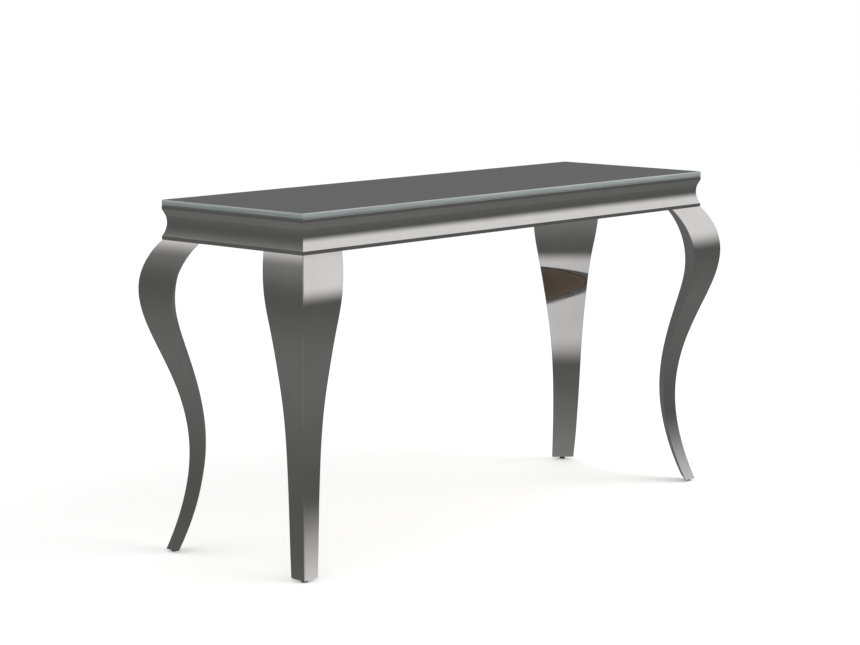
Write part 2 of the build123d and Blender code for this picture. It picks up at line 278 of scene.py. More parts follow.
# ==========================================================================
# Materials
# ==========================================================================
def new_material(name):
    """Empty material: its graph, its principled shader and the object coordinates."""
    material = bpy.data.materials.new(name)
    material.use_nodes = True
    material.node_tree.nodes.clear()
    graph = Graph(material.node_tree)
    shader = graph.add("ShaderNodeBsdfPrincipled")
    output = graph.add("ShaderNodeOutputMaterial")
    graph.feed(output.inputs["Surface"], shader.outputs["BSDF"])
    place = graph.add("ShaderNodeTexCoord").outputs["Object"]
    return material, graph, shader, place


def effect(graph, group, inputs):
    """Instance of a shared effect with its inputs set; returns its outputs."""
    node = graph.add("ShaderNodeGroup", node_tree=group)
    for name, value in inputs.items():
        graph.feed(node.inputs[name], value)
    return node.outputs


def bump(graph, height, distance, strength=1.0, normal=None):
    inputs = {"Height": height, "Distance": distance, "Strength": strength}
    if normal is not None:
        inputs["Normal"] = normal
    return graph.add("ShaderNodeBump", inputs).outputs["Normal"]


def polished_steel(name, group, stretch, wave_scale, wave_height):
    """Mirror-polished stainless, polished along one direction."""
    material, graph, shader, place = new_material(name)
    sheet = effect(graph, group, {
        "Vector": place, "Streak Stretch": stretch, "Wave Scale": wave_scale,
    })
    tone = graph.math("MULTIPLY", sheet["Tone"], 0.68)
    colour = graph.add(
        "ShaderNodeCombineColor", {"Red": tone, "Green": tone, "Blue": tone}
    )
    warm = graph.mix(1.0, colour.outputs["Color"], (1.0, 0.988, 0.975, 1.0), "MULTIPLY")
    graph.feed(shader.inputs["Base Color"], warm)
    graph.feed(shader.inputs["Metallic"], 1.0)
    graph.feed(shader.inputs["Roughness"], sheet["Roughness"])
    waves = bump(graph, sheet["Wave"], wave_height)
    graph.feed(shader.inputs["Normal"], bump(graph, sheet["Streak"], 0.000002, 0.5, waves))
    return material


def painted_glass(dust_group):
    """Face of the top: clear polished glass over warm grey paint."""
    material, graph, shader, place = new_material("painted_glass_face")
    dust = effect(graph, dust_group, {"Vector": place, "Amount": 0.22})
    paint = graph.noise(place, 40.0, 3.0)
    colour = graph.mix(
        graph.remap(paint, 0.3, 0.7, 0.0, 1.0), (0.152, 0.147, 0.150, 1), (0.164, 0.158, 0.161, 1)
    )
    dusty = graph.mix(dust["Specks"], colour, grey(0.5))
    graph.feed(shader.inputs["Base Color"], dusty)
    rough = graph.remap(dust["Wipe"], 0.0, 0.3, 0.012, 0.05)
    graph.feed(shader.inputs["Roughness"], rough)
    graph.feed(shader.inputs["IOR"], 1.52)
    ripple = graph.noise(place, 2.2, 1.0)
    graph.feed(shader.inputs["Normal"], bump(graph, ripple, 0.0004))
    return material


def glass_edge(dust_group):
    """Ground and polished edge of the top: greenish grey, painted shade along the lower arris lightening
    upward to a painted highlight along the upper arris.
    """
    material, graph, shader, place = new_material("glass_edge")
    height = graph.add("ShaderNodeSeparateXYZ", {"Vector": place}).outputs["Z"]
    low = GLASS_LOW.z
    high = GLASS_HIGH.z
    # Painted light: the edge colour runs from painted shade at its bottom to a painted highlight band
    # along the upper arris, in place of light seen in the glass.
    rise = graph.remap(height, low, high, 0.0, 1.0)
    painted_edge_light = graph.add("ShaderNodeValToRGB", {"Fac": rise})
    stops = painted_edge_light.color_ramp.elements
    stops[0].position = 0.0
    stops[0].color = (0.075, 0.090, 0.090, 1)
    stops[1].position = 1.0
    stops[1].color = (0.40, 0.435, 0.435, 1)
    for position, colour in (
        (0.12, (0.20, 0.222, 0.220, 1)), (0.45, (0.235, 0.258, 0.254, 1)),
        (0.80, (0.295, 0.320, 0.314, 1)), (0.93, (0.42, 0.45, 0.44, 1)),
    ):
        stop = stops.new(position)
        stop.color = colour
    along = graph.stretched(place, (3.0, 3.0, 60.0))
    drift = graph.remap(graph.noise(along, 4.0, 3.0), 0.3, 0.7, 0.88, 1.08)
    shade = graph.add("ShaderNodeCombineColor", {"Red": drift, "Green": drift, "Blue": drift})
    graph.feed(
        shader.inputs["Base Color"],
        graph.mix(1.0, painted_edge_light.outputs["Color"], shade.outputs["Color"], "MULTIPLY"),
    )
    dust = effect(graph, dust_group, {"Vector": place, "Amount": 0.2})
    graph.feed(shader.inputs["Roughness"], graph.remap(dust["Wipe"], 0.0, 0.3, 0.05, 0.14))
    graph.feed(shader.inputs["IOR"], 1.52)
    return material


def zinc_plate(name, group, scale, pale, dull):
    material, graph, shader, place = new_material(name)
    zinc = effect(graph, group, {"Vector": place, "Scale": scale, "Pale": pale, "Dull": dull})
    graph.feed(shader.inputs["Base Color"], zinc["Color"])
    graph.feed(shader.inputs["Roughness"], zinc["Roughness"])
    graph.feed(shader.inputs["Metallic"], 1.0)
    graph.feed(shader.inputs["Normal"], bump(graph, zinc["Height"], 0.00004))
    return material


def fibreboard(name, group, board, fleck, dust):
    material, graph, shader, place = new_material(name)
    fibre = effect(graph, group, {"Vector": place, "Board": board, "Fleck": fleck, "Dust": dust})
    graph.feed(shader.inputs["Base Color"], fibre["Color"])
    graph.feed(shader.inputs["Roughness"], fibre["Roughness"])
    graph.feed(shader.inputs["Normal"], bump(graph, fibre["Height"], 0.0001, 0.6))
    return material


def clear_silicone():
    material, graph, shader, place = new_material("clear_silicone")
    cloud = graph.noise(place, 300.0, 2.0)
    graph.feed(
        shader.inputs["Base Color"], graph.mix(cloud, (0.66, 0.69, 0.68, 1), (0.8, 0.82, 0.81, 1))
    )
    graph.feed(shader.inputs["Roughness"], graph.remap(cloud, 0.3, 0.7, 0.25, 0.4))
    graph.feed(shader.inputs["Transmission Weight"], 0.35)
    return material


def moulded_nylon():
    material, graph, shader, place = new_material("moulded_nylon")
    grain = graph.noise(place, 2200.0, 3.0)
    scuff = graph.remap(graph.noise(place, 240.0, 4.0), 0.55, 0.75, 0.0, 0.5)
    graph.feed(
        shader.inputs["Base Color"], graph.mix(scuff, (0.02, 0.02, 0.021, 1), (0.09, 0.088, 0.085, 1))
    )
    graph.feed(shader.inputs["Roughness"], graph.remap(grain, 0.3, 0.7, 0.42, 0.6))
    graph.feed(shader.inputs["Normal"], bump(graph, grain, 0.00002))
    return material


def make_materials():
    sheet = polished_sheet_group()
    bloom = zinc_bloom_group()
    fibre = pressed_fibre_group()
    dust = settled_dust_group()
    return {
        "apron_steel": polished_steel("apron_steel", sheet, (0.05, 0.05, 1.0), 7.0, 0.00022),
        "leg_steel": polished_steel("leg_steel", sheet, (1.0, 1.0, 0.05), 9.0, 0.00022),
        "glass_face": painted_glass(dust),
        "glass_edge": glass_edge(dust),
        "bracket_zinc": zinc_plate(
            "bracket_zinc", bloom, 90.0, (0.60, 0.61, 0.62, 1), (0.42, 0.43, 0.44, 1)
        ),
        "fixing_zinc": zinc_plate(
            "fixing_zinc", bloom, 420.0, (0.66, 0.66, 0.64, 1), (0.50, 0.49, 0.45, 1)
        ),
        "deck_fibre": fibreboard(
            "deck_fibre", fibre, (0.20, 0.155, 0.115, 1), (0.105, 0.080, 0.058, 1), (0.30, 0.245, 0.19, 1)
        ),
        "rail_fibre": fibreboard(
            "rail_fibre", fibre, (0.18, 0.14, 0.105, 1), (0.095, 0.070, 0.050, 1), (0.28, 0.225, 0.175, 1)
        ),
        "silicone": clear_silicone(),
        "nylon": moulded_nylon(),
    }


# ==========================================================================
# Mesh helpers
# ==========================================================================
def mesh_object(name, mesh, materials):
    for material in materials:
        mesh.materials.append(material)
    item = bpy.data.objects.new(name, mesh)
    bpy.context.scene.collection.objects.link(item)
    return item


def shaded_mesh(name, points, faces, normals, smooth_count):
    """Mesh whose first faces are smooth with the given point normals; the rest are flat."""
    mesh = bpy.data.meshes.new(name)
    mesh.from_pydata(points, [], faces)
    mesh.update()
    corner_normals = []
    for polygon in mesh.polygons:
        polygon.use_smooth = True
        for vertex in polygon.vertices:
            smooth = polygon.index < smooth_count
            corner_normals.append(normals[vertex] if smooth else polygon.normal.copy())
    mesh.normals_split_custom_set(corner_normals)
    return mesh


def corner_signs(corner):
    """Direction of the insets along X and Y at a corner of the table."""
    along_x = 1 if "left" in corner else -1
    along_y = 1 if "front" in corner else -1
    return along_x, along_y


def corner_point(corner, u, v, z):
    """Row position from two insets in millimetres and a height in metres."""
    along_x, along_y = corner_signs(corner)
    x = along_x * (u * MM - HALF_LENGTH)
    y = along_y * (v * MM - HALF_DEPTH)
    return Vector((x, y, z))


def corner_direction(corner, u, v, z):
    along_x, along_y = corner_signs(corner)
    return Vector((along_x * u, along_y * v, z)).normalized()


def turned(faces, corner):
    """Faces with their order reversed where the corner is a mirror image."""
    along_x, along_y = corner_signs(corner)
    if along_x * along_y > 0:
        return faces
    return [tuple(reversed(face)) for face in faces]


# ==========================================================================
# Legs
# ==========================================================================
class SideOutline:
    """Smooth curve through (height, inset) points, spaced by the length of its chords."""

    def __init__(self, points):
        self.points = [Vector((inset, height)) for height, inset in points]
        self.knots = [0.0]
        for a, b in zip(self.points, self.points[1:]):
            self.knots.append(self.knots[-1] + (b - a).length)
        self.tangents = self.solve_tangents()

    def end_tangent(self, picked):
        """Slope at the first picked point of the cubic through all four."""
        here = self.knots[picked[0]]
        slope = Vector((0.0, 0.0))
        for i in picked:
            weight = 0.0
            for skipped in picked:
                if skipped == i:
                    continue
                product = 1.0 / (self.knots[i] - self.knots[skipped])
                for j in picked:
                    if j not in (i, skipped):
                        product *= (here - self.knots[j]) / (self.knots[i] - self.knots[j])
                weight += product
            slope += self.points[i] * weight
        return slope

    def solve_tangents(self):
        last = len(self.points) - 1
        first_tangent = self.end_tangent([0, 1, 2, 3])
        last_tangent = self.end_tangent([last, last - 1, last - 2, last - 3])
        steps = [b - a for a, b in zip(self.knots, self.knots[1:])]
        upper = [0.0]
        value = [first_tangent]
        for i in range(1, last):
            before, after = steps[i - 1], steps[i]
            rise = (self.points[i] - self.points[i - 1]) / before ** 2
            rise += (self.points[i + 1] - self.points[i]) / after ** 2
            pivot = 2 / before + 2 / after - upper[i - 1] / before
            upper.append(1 / after / pivot)
            value.append((3 * rise - value[i - 1] / before) / pivot)
        tangents = [last_tangent]
        for i in range(last - 1, -1, -1):
            following = tangents[0]
            tangents.insert(0, value[i] - following * upper[i] if i else first_tangent)
        return tangents

    def on_segment(self, i, t):
        """Point and direction at a share t of segment i."""
        step = self.knots[i + 1] - self.knots[i]
        a, b = self.points[i], self.points[i + 1]
        da, db = self.tangents[i] * step, self.tangents[i + 1] * step
        point = (
            a * (2 * t ** 3 - 3 * t ** 2 + 1) + da * (t ** 3 - 2 * t ** 2 + t)
            + b * (3 * t ** 2 - 2 * t ** 3) + db * (t ** 3 - t ** 2)
        )
        direction = (
            (a - b) * (6 * t ** 2 - 6 * t) + da * (3 * t ** 2 - 4 * t + 1)
            + db * (3 * t ** 2 - 2 * t)
        )
        return point, direction

    def at(self, height):
        """Inset and its slope at a height above the foot."""
        segment = 0
        while segment < len(self.points) - 2 and height > self.points[segment + 1].y:
            segment += 1
        low, high = 0.0, 1.0
        for _ in range(40):
            middle = (low + high) / 2
            point, direction = self.on_segment(segment, middle)
            if point.y < height:
                low = middle
            else:
                high = middle
        return point.x, direction.x / direction.y


OUTER_SIDE = SideOutline(LEG_OUTER)
INNER_SIDE = SideOutline([(height, total / sqrt(2)) for height, total in LEG_INNER])


def arc_steps(start, end, count):
    return [start + (end - start) * i / count for i in range(count + 1)]


def section(outer, reach, side_rise, inner_flat, inner_rise):
    """Rounded triangle of the leg: (u, v) points with their normals, counter-clockwise.

    outer is the inset of the two outer faces, reach the distance of the inner
    face from the corner of the table, and the rises are the upward parts of the
    face normals."""
    total = reach * sqrt(2)
    rounded = OUTER_EDGE_RADIUS
    slim = SIDE_EDGE_RADIUS
    tip = total - sqrt(2) * slim - (outer + slim)
    half = inner_flat / sqrt(2)
    front_normal = Vector((0, -1, side_rise)).normalized()
    end_normal = Vector((-1, 0, side_rise)).normalized()
    inner_normal = Vector((half, half, inner_rise)).normalized()
    turns = (
        ((outer + rounded, outer + rounded), rounded, 180, 270, 6, end_normal, front_normal),
        ((tip, outer + slim), slim, 270, 405, 8, front_normal, inner_normal),
        ((outer + slim, tip), slim, 45, 180, 8, inner_normal, end_normal),
    )
    points, normals = [], []
    for centre, radius, start, end, count, first, second in turns:
        for angle in arc_steps(start, end, count):
            share = (angle - start) / (end - start)
            a = radians(angle)
            points.append((centre[0] + radius * cos(a), centre[1] + radius * sin(a)))
            flat = Vector((cos(a), sin(a), 0))
            rise = first.z * (1 - share) + second.z * share
            level = sqrt(max(0.0, 1 - rise * rise))
            normals.append(flat * level + Vector((0, 0, rise)))
    return points, normals


def leg_level(height):
    """Height, section points and normals at a height above the foot."""
    outer, outer_slope = OUTER_SIDE.at(height)
    reach, reach_slope = INNER_SIDE.at(height)
    points, normals = section(outer, reach, outer_slope, 1.0, -reach_slope)
    return height, points, normals


def toe_levels(top):
    """Levels of the toe from its flat sole up, its inner edge turned under."""
    reach, slope = INNER_SIDE.at(0.0)
    lean = sqrt(1 + slope * slope)
    centre = reach + slope * TOE_RADIUS - TOE_RADIUS * lean
    levels = []
    first = -pi / 2
    last = -asin(slope / lean)
    for i in range(TOE_RINGS + 1):
        angle = first + (last - first) * i / TOE_RINGS
        height = TOE_RADIUS * (1 + sin(angle))
        outer, outer_slope = OUTER_SIDE.at(height)
        points, normals = section(
            outer, centre + TOE_RADIUS * cos(angle), outer_slope, cos(angle), sin(angle)
        )
        levels.append((height, points, normals))
    start = levels[-1][0]
    for i in range(1, 5):
        levels.append(leg_level(start + (top - start) * i / 4))
    return levels


def ring_wall(low, high, around):
    """Faces between two rings of points that start at low and high."""
    following = [(i + 1) % around for i in range(around)]
    return [(low + i, low + k, high + k, high + i) for i, k in enumerate(following)]


def skin_over(corner, levels):
    """Points, faces and normals of the closed skin through a stack of levels."""
    points, normals, faces = [], [], []
    for height, outline, directions in levels:
        z = LEG_FOOT + height * MM
        points += [corner_point(corner, u, v, z) for u, v in outline]
        normals += [corner_direction(corner, *direction) for direction in directions]
    around = len(levels[0][1])
    for i in range(len(levels) - 1):
        faces += ring_wall(i * around, (i + 1) * around, around)
    return points, turned(faces, corner), normals


def leg_skin(corner, material):
    """Welded and polished sheet leg, closed at both ends."""
    start = (LEG_LOW.z - LEG_FOOT) / MM
    end = (LEG_HIGH.z - LEG_FOOT) / MM
    levels = [leg_level(start + (end - start) * i / LEG_RINGS) for i in range(LEG_RINGS + 1)]
    points, faces, normals = skin_over(corner, levels)
    around = len(levels[0][1])
    smooth = len(faces)
    top = len(points) - around
    caps = [tuple(reversed(range(around))), tuple(range(top, top + around))]
    faces += turned(caps, corner)
    name = f"leg_skin_{corner}"
    leg = mesh_object(name, shaded_mesh(name, points, faces, normals, smooth), [material])
    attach(leg, "table")
    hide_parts(f"leg_{corner}")


def toe(corner, material):
    """Solid toe of the leg with the threaded bore for its levelling stud."""
    levels = toe_levels((LEG_LOW.z - LEG_FOOT) / MM)
    points, faces, normals = skin_over(corner, levels)
    around = len(levels[0][1])
    smooth = len(faces)
    bore_steps = 24
    rims = []
    for z in (LEG_FOOT, LEG_LOW.z - 0.5 * MM):
        start = len(points)
        for i in range(bore_steps):
            a = 2 * pi * i / bore_steps
            u = FOOT_INSET + BORE_RADIUS * cos(a)
            v = FOOT_INSET + BORE_RADIUS * sin(a)
            points.append(corner_point(corner, u, v, z))
            normals.append(Vector((0, 0, -1)))
        rims.append(range(start, start + bore_steps))
    low, high = rims
    sole = list(range(around))
    rings = [[points[i] for i in sole], [points[i] for i in low]]
    numbers = sole + list(low)
    flat = [tuple(numbers[i] for i in triangle) for triangle in tessellate_polygon(rings)]
    faces += [face_down(points, face) for face in flat]
    bore = []
    for i in range(bore_steps):
        k = (i + 1) % bore_steps
        bore.append((low[k], low[i], high[i], high[k]))
    bore.append(tuple(reversed(high)))
    top = (len(levels) - 1) * around
    bore.append(tuple(range(top, top + around)))
    faces += turned(bore, corner)
    name = f"toe_{corner}"
    cap = mesh_object(name, shaded_mesh(name, points, faces, normals, smooth), [material])
    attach(cap, "table")
    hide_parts(f"foot_cap_{corner}")


def face_down(points, face):
    """The triangle ordered so that it faces the floor."""
    a, b, c = (points[i] for i in face)
    return face if (b - a).cross(c - a).z < 0 else tuple(reversed(face))


# ==========================================================================
# Glass top
# ==========================================================================
def rounded_outline(half_x, half_y, radius, steps=6):
    """Counter-clockwise rectangle with rounded corners: points and normals."""
    result = []
    for sx, sy, start in ((1, 1, 0), (-1, 1, 90), (-1, -1, 180), (1, -1, 270)):
        centre = (sx * (half_x - radius), sy * (half_y - radius))
        for angle in arc_steps(start, start + 90, steps):
            a = radians(angle)
            direction = (cos(a), sin(a))
            point = (centre[0] + radius * direction[0], centre[1] + radius * direction[1])
            result.append((point, direction))
    return result


def glass_slab(face, edge):
    """Float glass with rounded corners and polished arrises, painted underneath."""
    radius = 1.5 * MM
    arris = 0.8 * MM
    turn = 4
    rows = []
    for i in range(turn + 1):
        a = radians(-90 + 90 * i / turn)
        rows.append((arris * (1 - cos(a)), GLASS_LOW.z + arris * (1 + sin(a)), a))
    for i in range(turn + 1):
        a = radians(90 * i / turn)
        rows.append((arris * (1 - cos(a)), GLASS_HIGH.z - arris * (1 - sin(a)), a))
    points, normals, faces = [], [], []
    for inset, z, lean in rows:
        for point, direction in rounded_outline(HALF_LENGTH, HALF_DEPTH, radius):
            points.append((point[0] - inset * direction[0], point[1] - inset * direction[1], z))
            level = cos(lean)
            normals.append(Vector((direction[0] * level, direction[1] * level, sin(lean))))
    around = len(rounded_outline(HALF_LENGTH, HALF_DEPTH, radius))
    for i in range(len(rows) - 1):
        faces += ring_wall(i * around, (i + 1) * around, around)
    smooth = len(faces)
    top = (len(rows) - 1) * around
    faces.append(tuple(range(top, top + around)))
    faces.append(tuple(reversed(range(around))))
    mesh = shaded_mesh("glass_slab", points, faces, normals, smooth)
    slab = mesh_object("glass_slab", mesh, [face, edge])
    for polygon in mesh.polygons[:smooth]:
        polygon.material_index = 1
    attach(slab, "table")
    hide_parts("glass_top")


# ==========================================================================
# Apron moulding, swept by geometry nodes
# ==========================================================================
def eased_corner(before, corner, after, radius, steps=4):
    """Corner of the section rounded with a small radius."""
    p, q, r = Vector(before), Vector(corner), Vector(after)
    into = (p - q).normalized()
    out = (r - q).normalized()
    half = into.angle(out) / 2
    set_back = radius * cos(half) / sin(half)
    centre = q + (into + out).normalized() * (radius / sin(half))
    start = q + into * set_back - centre
    end = q + out * set_back - centre
    sweep = start.angle_signed(end)
    points = []
    for i in range(steps + 1):
        a = -sweep * i / steps
        turned_start = Vector((
            start.x * cos(a) - start.y * sin(a), start.x * sin(a) + start.y * cos(a)
        ))
        points.append(tuple(centre + turned_start))
    return points


def arc_through(first, middle, last, steps):
    """Points along the circle through three points, both ends included."""
    ax, ay = first
    bx, by = middle
    cx, cy = last
    d = 2 * (ax * (by - cy) + bx * (cy - ay) + cx * (ay - by))
    a2, b2, c2 = ax * ax + ay * ay, bx * bx + by * by, cx * cx + cy * cy
    centre = Vector((
        (a2 * (by - cy) + b2 * (cy - ay) + c2 * (ay - by)) / d,
        (a2 * (cx - bx) + b2 * (ax - cx) + c2 * (bx - ax)) / d,
    ))
    start = Vector(first) - centre
    sweep = -start.angle_signed(Vector(last) - centre)
    points = []
    for i in range(steps + 1):
        a = sweep * i / steps
        points.append((
            centre.x + start.x * cos(a) - start.y * sin(a),
            centre.y + start.x * sin(a) + start.y * cos(a),
        ))
    return points


def moulding_section():
    """Closed section of the apron as (inset, height) points in millimetres."""
    low = APRON_LOW.z / MM
    top = APRON_HIGH.z / MM
    cove = arc_through(
        (0, low + LOWER_FASCIA), (COVE_DEEPEST[1], low + COVE_DEEPEST[0]),
        (CREASE[1], low + CREASE[0]), COVE_STEPS,
    )
    crease = cove[-1]
    slant_top = (0, low + UPPER_FASCIA)
    outline = [(BOTTOM_FLANGE, low)]
    outline += eased_corner((BOTTOM_FLANGE, low), (0, low), (0, low + LOWER_FASCIA), 0.9)
    outline += eased_corner((0, low), cove[0], cove[1], 0.5)
    outline += cove[2:]
    outline += eased_corner(crease, slant_top, (0, top), 0.6)
    outline += eased_corner(slant_top, (0, top), (TOP_FLANGE, top), 0.8)
    outline += [
        (TOP_FLANGE, top), (TOP_FLANGE, top - SKIN), (SKIN, top - SKIN),
        (SKIN, low + UPPER_FASCIA), (crease[0] + SKIN, crease[1]),
    ]
    outline += [(inset + SKIN, height) for inset, height in reversed(cove[:-1:3])]
    outline += [(SKIN, low + SKIN), (BOTTOM_FLANGE, low + SKIN)]
    return outline


def moulding_group():
    """Sweeps the section along X, mitres both ends and turns the run into place."""
    group, graph, given, result = new_group(
        "mitred_moulding", "GeometryNodeTree",
        [
            ("Section", GEOMETRY, None), ("Run", FLOAT, 1.0), ("Set Out", FLOAT, 0.2),
            ("Turn", FLOAT, 0.0), ("Finish", MATERIAL, None),
        ],
        [("Geometry", GEOMETRY)],
    )
    section_curve = graph.add("GeometryNodeMeshToCurve", {"Mesh": given["Section"]})
    half = graph.math("MULTIPLY", given["Run"], 0.5)
    end = graph.add("ShaderNodeCombineXYZ", {"X": half})
    start = graph.add("ShaderNodeCombineXYZ", {"X": graph.math("MULTIPLY", half, -1.0)})
    path = graph.add(
        "GeometryNodeCurvePrimitiveLine",
        {"Start": start.outputs["Vector"], "End": end.outputs["Vector"]},
    )
    swept = graph.add(
        "GeometryNodeCurveToMesh",
        {"Curve": path.outputs["Curve"], "Profile Curve": section_curve.outputs["Curve"],
         "Fill Caps": True},
    )
    place = graph.add("GeometryNodeInputPosition").outputs["Position"]
    parts = graph.add("ShaderNodeSeparateXYZ", {"Vector": place})
    side = graph.math("SIGN", parts.outputs["X"])
    shift = graph.math("MULTIPLY", graph.math("MULTIPLY", side, -1.0), parts.outputs["Y"])
    offset = graph.add("ShaderNodeCombineXYZ", {"X": shift})
    mitred = graph.add(
        "GeometryNodeSetPosition",
        {"Geometry": swept.outputs["Mesh"], "Offset": offset.outputs["Vector"]},
    )
    out = graph.add("ShaderNodeCombineXYZ", {"Y": graph.math("MULTIPLY", given["Set Out"], -1.0)})
    moved = graph.add(
        "GeometryNodeTransform",
        {"Geometry": mitred.outputs["Geometry"], "Translation": out.outputs["Vector"]},
    )
    angle = graph.add("ShaderNodeCombineXYZ", {"Z": given["Turn"]})
    turned_run = graph.add(
        "GeometryNodeTransform",
        {"Geometry": moved.outputs["Geometry"], "Rotation": angle.outputs["Vector"]},
    )
    smooth = graph.add(
        "GeometryNodeSetShadeSmooth",
        {"Geometry": turned_run.outputs["Geometry"], "Shade Smooth": True},
    )
    real = graph.add("GeometryNodeRealizeInstances", {"Geometry": smooth.outputs["Geometry"]})
    painted = graph.add(
        "GeometryNodeSetMaterial",
        {"Geometry": real.outputs["Geometry"], "Material": given["Finish"]},
    )
    graph.feed(result["Geometry"], painted.outputs["Geometry"])
    return group


def set_input(modifier, name, value):
    """Sets a modifier input by the name of its socket."""
    for item in modifier.node_group.interface.items_tree:
        if item.item_type == "SOCKET" and item.in_out == "INPUT" and item.name == name:
            modifier[item.identifier] = value
            return
    raise KeyError(name)


def grown(name, seed_mesh, group, inputs, sharp_angle=None, inside_out=False):
    """Plain mesh made by running a node group over a seed mesh."""
    seed = mesh_object(f"{name}_seed", seed_mesh, [])
    modifier = seed.modifiers.new("grow", "NODES")
    modifier.node_group = group
    for key, value in inputs.items():
        set_input(modifier, key, value)
    mesh = evaluated_mesh(seed)
    if inside_out:
        mesh.flip_normals()
    if sharp_angle is not None:
        seed.modifiers.remove(modifier)
        seed.data = mesh
        mesh.set_sharp_from_angle(angle=sharp_angle)
        weighted = seed.modifiers.new("weighted", "WEIGHTED_NORMAL")
        weighted.weight = 100
        weighted.keep_sharp = True
        mesh = evaluated_mesh(seed)
    bpy.data.objects.remove(seed)
    mesh.name = name
    return mesh


def evaluated_mesh(item):
    depsgraph = bpy.context.evaluated_depsgraph_get()
    depsgraph.update()
    evaluated = item.evaluated_get(depsgraph)
    return bpy.data.meshes.new_from_object(
        evaluated, preserve_all_data_layers=True, depsgraph=depsgraph
    )


def edge_loop_mesh(name, points):
    mesh = bpy.data.meshes.new(name)
    count = len(points)
    mesh.from_pydata(points, [(i, (i + 1) % count) for i in range(count)], [])
    return mesh


def apron_sides(material):
    group = moulding_group()
    points = [(-inset * MM, -height * MM, 0.0) for inset, height in moulding_section()]
    runs = {
        "front": (2 * HALF_LENGTH, HALF_DEPTH, 0.0),
        "right": (2 * HALF_DEPTH, HALF_LENGTH, pi / 2),
        "back": (2 * HALF_LENGTH, HALF_DEPTH, pi),
        "left": (2 * HALF_DEPTH, HALF_LENGTH, -pi / 2),
    }
    for side, (run, set_out, turn) in runs.items():
        name = f"moulding_{side}"
        seed = edge_loop_mesh(name, points)
        mesh = grown(
            name, seed, group,
            {"Run": run, "Set Out": set_out, "Turn": turn, "Finish": material},
            sharp_angle=radians(24), inside_out=True,
        )
        item = mesh_object(name, mesh, [])
        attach(item, "table")
        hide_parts(f"apron_{side}")


# ==========================================================================
# Fixings, repeated by geometry nodes
# ==========================================================================
def lathe(name, outline, around, ring=False):
    """Closed mesh turned about Z from (radius, height) points, bottom to top.

    A ring's outline comes back to its first point without repeating it."""
    points, faces = [], []
    for radius, z in outline:
        if radius == 0:
            points.append((0, 0, z))
            continue
        for i in range(around):
            a = 2 * pi * (i + 0.5) / around
            points.append((radius * cos(a), radius * sin(a), z))
    starts, total = [], 0
    for radius, _ in outline:
        starts.append(total)
        total += 1 if radius == 0 else around
    for row in range(len(outline) - (0 if ring else 1)):
        following = (row + 1) % len(outline)
        low, high = starts[row], starts[following]
        for i in range(around):
            k = (i + 1) % around
            if outline[row][0] == 0:
                faces.append((low, high + k, high + i))
            elif outline[following][0] == 0:
                faces.append((low + i, low + k, high))
            else:
                faces.append((low + i, low + k, high + k, high + i))
    mesh = bpy.data.meshes.new(name)
    mesh.from_pydata(points, [], faces)
    return mesh


def cut_cross(mesh, width, length, depth, top):
    """Cuts a tapered cross recess into the top of a screw head."""
    head = mesh_object("head", mesh, [])
    cutters = []
    for across, along in ((width, length), (length, width)):
        w, l = across / 2, along / 2
        points = [
            (-w, -l, top + depth), (w, -l, top + depth), (w, l, top + depth), (-w, l, top + depth),
            (-w * 0.55, -l * 0.55, top - depth), (w * 0.55, -l * 0.55, top - depth),
            (w * 0.55, l * 0.55, top - depth), (-w * 0.55, l * 0.55, top - depth),
        ]
        faces = [
            (0, 1, 2, 3), (7, 6, 5, 4), (0, 4, 5, 1), (1, 5, 6, 2), (2, 6, 7, 3), (3, 7, 4, 0),
        ]
        blade = bpy.data.meshes.new("blade")
        blade.from_pydata(points, [], faces)
        cutter = mesh_object("blade", blade, [])
        cut = head.modifiers.new("cut", "BOOLEAN")
        cut.operation = "DIFFERENCE"
        cut.object = cutter
        cut.solver = "EXACT"
        cutters.append(cutter)
    result = evaluated_mesh(head)
    for item in [head, *cutters]:
        bpy.data.objects.remove(item)
    return result


def countersunk_screw(radius, head_radius, head_height, length):
    """Flush wood screw with its driving recess, top at the origin."""
    mesh = lathe("countersunk", [
        (0, -length), (radius * 0.25, -length + 0.4 * MM), (radius, -length + 4 * MM),
        (radius, -head_height), (head_radius, -0.15 * MM), (head_radius, 0), (0, 0),
    ], 20)
    return cut_cross(mesh, 0.9 * MM, head_radius * 1.25, 1.2 * MM, 0)


def pan_head_screw(radius, head_radius, head_height, length):
    """Round-headed wood screw seated on the plane z = 0."""
    outline = [(0, -length), (radius * 0.25, -length + 0.4 * MM), (radius, -length + 4 * MM)]
    outline += [(radius, 0), (head_radius, 0), (head_radius, head_height * 0.4)]
    for i in range(1, 5):
        a = radians(90 * i / 5)
        outline.append((
            head_radius - head_height * 0.6 * (1 - cos(a)),
            head_height * (0.4 + 0.6 * sin(a)),
        ))
    outline += [(head_radius - head_height * 0.6, head_height), (0, head_height)]
    mesh = lathe("pan_head", outline, 24)
    return cut_cross(mesh, 1.0 * MM, head_radius * 1.1, 1.1 * MM, head_height)


def washer(outer, inner, thick):
    ease = 0.2 * MM
    outline = [
        (inner, 0), (outer - ease, 0), (outer, ease), (outer, thick - ease),
        (outer - ease, thick), (inner, thick),
    ]
    return lathe("washer", outline, 32, ring=True)


def hex_nut(across_flats, bore, height):
    """Hexagon nut with its corners turned down at both ends."""
    corner = across_flats / sqrt(3)
    flat = across_flats / 2
    around = 36
    rows = []
    for z, limit in (
        (0, flat * 0.97), (0.12, 1.02 * flat), (0.26, corner), (0.74, corner),
        (0.88, 1.02 * flat), (1, flat * 0.97),
    ):
        rows.append([
            (min(limit, hexagon_reach(2 * pi * i / around, flat)), 2 * pi * i / around, z * height)
            for i in range(around)
        ])
    inner = [[(bore, 2 * pi * i / around, z) for i in range(around)] for z in (height, 0)]
    rows += inner
    points = [
        (reach * cos(angle), reach * sin(angle), z) for row in rows for reach, angle, z in row
    ]
    faces = []
    for row in range(len(rows)):
        following = (row + 1) % len(rows)
        faces += ring_wall(row * around, following * around, around)
    mesh = bpy.data.meshes.new("hex_nut")
    mesh.from_pydata(points, [], faces)
    return mesh


